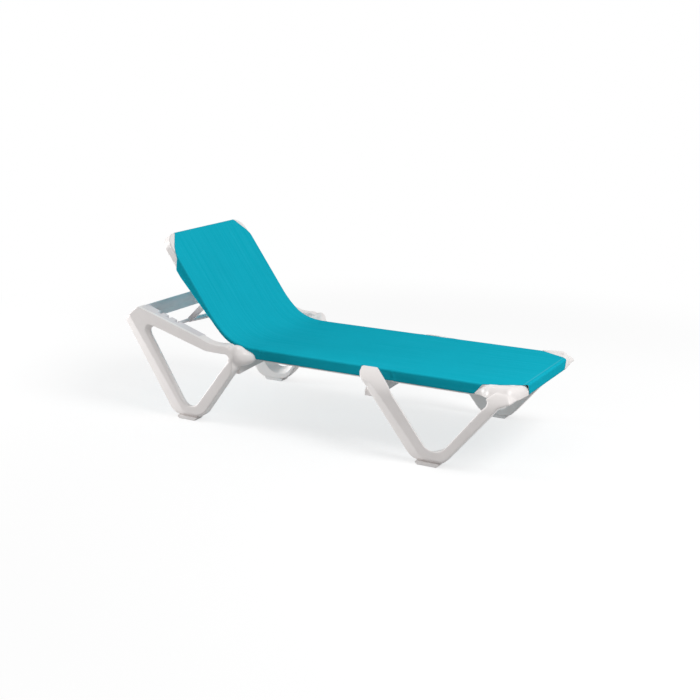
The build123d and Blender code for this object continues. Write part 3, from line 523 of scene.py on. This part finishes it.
def flap_depth(x, back_s):
    """The depth of the side flap: shallow by the hinge, deepening up the backrest's straight run."""
    if back_s is None:
        return FLAP if x > FULL_FLAP_X else HINGE_FLAP
    straight = back_s - ARC_LENGTH
    depth = BACK_FLAP + (FLAP - BACK_FLAP) * straight / BACK_FLAP_RUN
    return min(max(depth, LEAST_BACK_FLAP), FLAP)


def at_distance(columns, distance):
    for low, high in zip(columns, columns[1:]):
        if high[0] >= distance:
            share = (distance - low[0]) / max(high[0] - low[0], 1e-9)
            return tuple(low[k] + share * (high[k] - low[k]) for k in range(3))
    return columns[-1]


def half_length(x, z, back_s, full):
    """How far from the middle the cloth reaches at a station along the path."""
    if back_s is not None:
        left = RAIL_LENGTH - back_s
        stations = [
            (9.0, full), (0.173, full), (0.150, LOW_EDGE), (0.108, 0.273),
            (0.080, 0.262), (0.060, 0.252), (0.0, 0.203), (-0.2, 0.203),
        ]
        for (s0, w0), (s1, w1) in zip(stations, stations[1:]):
            if s1 <= left <= s0:
                return w0 + (w1 - w0) * (s0 - left) / (s0 - s1)
        return full
    if x > END_FACE_X and z < TOP_Z - EDGE:
        return END_HALF - END_TAPER * (TOP_Z - EDGE - z) / (FLAP - 2 * EDGE)
    notch = FLAT + BEND * 0.2
    stations = [
        (-9.0, full), (-0.360, full), (-0.345, FLAT + BEND + 0.008), (-0.324, FLAT + BEND + 0.004),
        (-0.300, FLAT + BEND + 0.004), (-0.281, FLAT + BEND + 0.005), (-0.250, LOW_EDGE), (-0.238, full),
        (0.206, full), (0.224, LOW_EDGE), (0.226, notch),
        (0.296, notch), (0.328, LOW_EDGE), (0.336, full),
        (0.650, full), (0.675, LOW_EDGE), (0.714, 0.2655), (0.736, 0.2605), (0.756, 0.252),
        (0.800, 0.229), (0.838, 0.210), (0.851, 0.198), (0.857, END_HALF), (9.0, END_HALF),
    ]
    for (x0, w0), (x1, w1) in zip(stations, stations[1:]):
        if x0 <= x <= x1:
            return w0 + (w1 - w0) * (x - x0) / (x1 - x0)
    return full


# Creases of the top face: centre, direction, length, width and height
CREASES = [
    ((-0.215, 0.235), (0.80, -0.60), 0.060, 0.010, 0.0022),
    ((-0.190, 0.245), (0.92, -0.39), 0.050, 0.008, 0.0016),
    ((-0.235, 0.220), (0.60, -0.80), 0.050, 0.010, 0.0018),
    ((0.375, 0.245), (0.85, -0.52), 0.055, 0.010, 0.0020),
    ((0.395, 0.235), (0.95, -0.31), 0.050, 0.009, 0.0014),
    ((0.205, 0.250), (0.85, 0.52), 0.045, 0.009, 0.0014),
]
FIRST_CREASED_ROW = 161

# Folds of the side flap: x, lean, width and height
FLAP_FOLDS = [
    (-0.222, -0.45, 0.0045, 0.0030),
    (-0.203, -0.60, 0.0050, 0.0022),
    (0.352, 0.35, 0.0045, 0.0028),
]
FIRST_FOLD_X = -0.30
FOLD_GROWTH = 0.012


def crease(x, y, centre, direction, length, width, height):
    """A soft ridge of the cloth at a place, along a direction."""
    dx, dy = x - centre[0], y - centre[1]
    along = dx * direction[0] + dy * direction[1]
    across = -dx * direction[1] + dy * direction[0]
    if abs(along) > length or abs(across) > 3 * width:
        return 0.0
    fade = ease(1 - abs(along) / length)
    return height * fade * math.exp(-(across / width) ** 2)


def flap_fold(x, drop):
    """How far the side flap stands out at a place, where it creases beside a moulding."""
    if x < FIRST_FOLD_X or drop <= 0:
        return 0.0
    grown = ease(drop / FOLD_GROWTH)
    return grown * sum(
        height * math.exp(-(((x - centre - lean * drop) / width) ** 2))
        for centre, lean, width, height in FLAP_FOLDS
    )


def sag_at(length, total, y, drop):
    if drop != 0.0 or y >= SAG_HALF:
        return 0.0
    ends = ease((length - SAG_ENDS) / SAG_FADE) * ease((total - SAG_ENDS - length) / SAG_FADE)
    return SAG * ends * ease((SAG_HALF - y) / SAG_HALF)


def along_back(x, z):
    """How far up the back rails' curve a point of the path lies, or None where it is on the seat."""
    if z <= BACK_ABOVE_Z and x >= BACK_BEFORE_X:
        return None
    knee_x, knee_z, _ = arc_point(ARC_LENGTH, LIFT)
    along = (x - knee_x) * -math.cos(ARC_TO) + (z - knee_z) * math.sin(ARC_TO)
    return ARC_LENGTH + along


def path_normal(path, row):
    before = path[max(row - 1, 0)]
    after = path[min(row + 1, len(path) - 1)]
    tx, tz = after[0] - before[0], after[1] - before[1]
    size = math.hypot(tx, tz)
    return -tz / size, tx / size


def sling_mesh(path, lengths):
    vertices, grid, uvs = [], [], []
    for row, (x, z) in enumerate(path):
        nx, nz = path_normal(path, row)
        back_s = along_back(x, z)
        places = cross_columns(flap_depth(x, back_s))
        reach = half_length(x, z, back_s, places[-1][0])
        line = []
        for side in (-1, 1):
            for place in places if side > 0 else reversed(places[1:]):
                d, y, drop = at_distance(places, reach) if place[0] > reach else place
                lift = 0.0
                if row >= FIRST_CREASED_ROW:
                    lift = sum(crease(x, y, *item) for item in CREASES)
                sag = sag_at(lengths[row], lengths[-1], y, drop)
                px = x - nx * drop + nx * (lift - sag)
                pz = z - nz * drop + nz * (lift - sag)
                line.append(len(vertices))
                vertices.append((px + SHIFT, side * (y + flap_fold(x, drop)), pz))
                uvs.append((lengths[row] - lengths[-1], side * d))
        grid.append(line)
    faces = []
    for line, after in zip(grid, grid[1:]):
        for column in range(len(line) - 1):
            faces.append((line[column], after[column], after[column + 1], line[column + 1]))
    mesh = bpy.data.meshes.new("sling")
    mesh.from_pydata(vertices, [], faces)
    layer = mesh.uv_layers.new(name="UVMap")
    for loop in mesh.loops:
        layer.data[loop.index].uv = uvs[loop.vertex_index]
    return mesh


def make_sling():
    path = back_points() + blend_points() + seat_points()
    lengths = [0.0]
    for a, b in zip(path, path[1:]):
        lengths.append(lengths[-1] + math.hypot(b[0] - a[0], b[1] - a[1]))
    piece = bpy.data.objects.new("sling", sling_mesh(path, lengths))
    bpy.context.collection.objects.link(piece)
    weld = piece.modifiers.new("weld", "WELD")
    weld.merge_threshold = 0.00005
    thick = piece.modifiers.new("thick", "SOLIDIFY")
    thick.thickness = CLOTH
    thick.offset = -1.0
    bake_modifiers(piece)
    dress(piece, CLOTH_LOOK)
    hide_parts("seat_sling", "back_sling")
    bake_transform(piece)


make_sling()
make_legs()

# Stage, light and camera
FLOOR_REACH = 60.0
SHADOW_FROM = 1.6
SHADOW_TO = 3.0
CAMERA_PLACE = (2.2462 + SHIFT, -3.9034, 1.4912)
CAMERA_AZIMUTH = 0.5171
CAMERA_ELEVATION = 0.2625
FOCAL_PX = 1165.8
FRAME_PX = 700
SENSOR_MM = 36.0

# Lamps: name, place, what it faces, size and power
LAMPS = [
    ("left", (-5.0, -1.25, 0.7), (0, 0, 0.3), 1.6, 235.0),
    ("key", (3.3, -0.4, 4.0), (0, 0, 0.25), 2.6, 145.0),
]


def emission(tree, strength):
    node = tree.nodes.new("ShaderNodeEmission")
    node.inputs["Strength"].default_value = strength
    return node.outputs["Emission"]


def faded(tree, factor, first, second):
    node = tree.nodes.new("ShaderNodeMixShader")
    link(tree, factor, node.inputs["Fac"])
    link(tree, first, node.inputs[1])
    link(tree, second, node.inputs[2])
    return node.outputs["Shader"]


def seen_directly(tree):
    """Whether a ray comes from the camera, straight or by way of a mirror or glass."""
    rays = tree.nodes.new("ShaderNodeLightPath")
    total = rays.outputs["Is Camera Ray"]
    for kind in ("Is Glossy Ray", "Is Transmission Ray"):
        total = reckon(tree, "MAXIMUM", total, rays.outputs[kind])
    return total


def make_floor():
    """A pale floor that a camera sees as white, with the object's soft shadow on it."""
    mesh = bpy.data.meshes.new("floor")
    r = FLOOR_REACH
    mesh.from_pydata([(-r, -r, 0), (r, -r, 0), (r, r, 0), (-r, r, 0)], [], [(0, 1, 2, 3)])
    floor = bpy.data.objects.new("floor", mesh)
    bpy.context.collection.objects.link(floor)
    material, tree, shader = new_material("floor")
    place = coords(tree)
    tone = ramp(tree, noise(tree, place, 0.8), 0.3, 0.7, grey(0.52), grey(0.56))
    link(tree, tone, shader.inputs["Base Color"])
    shader.inputs["Roughness"].default_value = 0.9
    shader.inputs["Specular IOR Level"].default_value = 0.0
    catcher = tree.nodes.new("ShaderNodeBsdfDiffuse")
    catcher.inputs["Color"].default_value = (*grey(0.32), 1)
    both = tree.nodes.new("ShaderNodeAddShader")
    link(tree, catcher.outputs["BSDF"], both.inputs[0])
    link(tree, emission(tree, 0.70), both.inputs[1])
    away = tree.nodes.new("ShaderNodeVectorMath")
    away.operation = "LENGTH"
    link(tree, place, away.inputs[0])
    far = tree.nodes.new("ShaderNodeMapRange")
    far.inputs["From Min"].default_value = SHADOW_FROM
    far.inputs["From Max"].default_value = SHADOW_TO
    far.interpolation_type = "SMOOTHSTEP"
    link(tree, away.outputs["Value"], far.inputs["Value"])
    shown = faded(tree, far.outputs["Result"], both.outputs["Shader"], emission(tree, 1.0))
    surface = faded(tree, seen_directly(tree), shader.outputs["BSDF"], shown)
    link(tree, surface, tree.nodes["Material Output"].inputs["Surface"])
    mesh.materials.append(material)


def make_world():
    """An even pale surround, dimmer as a light than as it is seen."""
    world = bpy.data.worlds.new("studio")
    bpy.context.scene.world = world
    world.use_nodes = True
    tree = world.node_tree
    tree.nodes.clear()
    output = tree.nodes.new("ShaderNodeOutputWorld")
    sides = []
    for strength in (0.42, 1.0):
        side = tree.nodes.new("ShaderNodeBackground")
        side.inputs["Color"].default_value = (1, 1, 1, 1)
        side.inputs["Strength"].default_value = strength
        sides.append(side.outputs["Background"])
    link(tree, faded(tree, seen_directly(tree), *sides), output.inputs["Surface"])


def area_light(name, place, target, size, power):
    data = bpy.data.lights.new(name, "AREA")
    data.shape = "DISK"
    data.size = size
    data.energy = power
    light = bpy.data.objects.new(name, data)
    bpy.context.collection.objects.link(light)
    light.location = place
    light.rotation_mode = "QUATERNION"
    light.rotation_quaternion = (Vector(target) - Vector(place)).to_track_quat("-Z", "Y")


def make_camera():
    back = Vector((
        math.sin(CAMERA_AZIMUTH) * math.cos(CAMERA_ELEVATION),
        -math.cos(CAMERA_AZIMUTH) * math.cos(CAMERA_ELEVATION),
        math.sin(CAMERA_ELEVATION),
    ))
    data = bpy.data.cameras.new("camera")
    data.sensor_width = SENSOR_MM
    data.lens = FOCAL_PX / FRAME_PX * SENSOR_MM
    data.clip_end = 200.0
    camera = bpy.data.objects.new("camera", data)
    bpy.context.collection.objects.link(camera)
    camera.location = CAMERA_PLACE
    camera.rotation_mode = "QUATERNION"
    camera.rotation_quaternion = (-back).to_track_quat("-Z", "Y")
    bpy.context.scene.camera = camera


make_floor()
make_world()
for lamp in LAMPS:
    area_light(*lamp)
make_camera()
bpy.context.scene.view_settings.view_transform = "Standard"
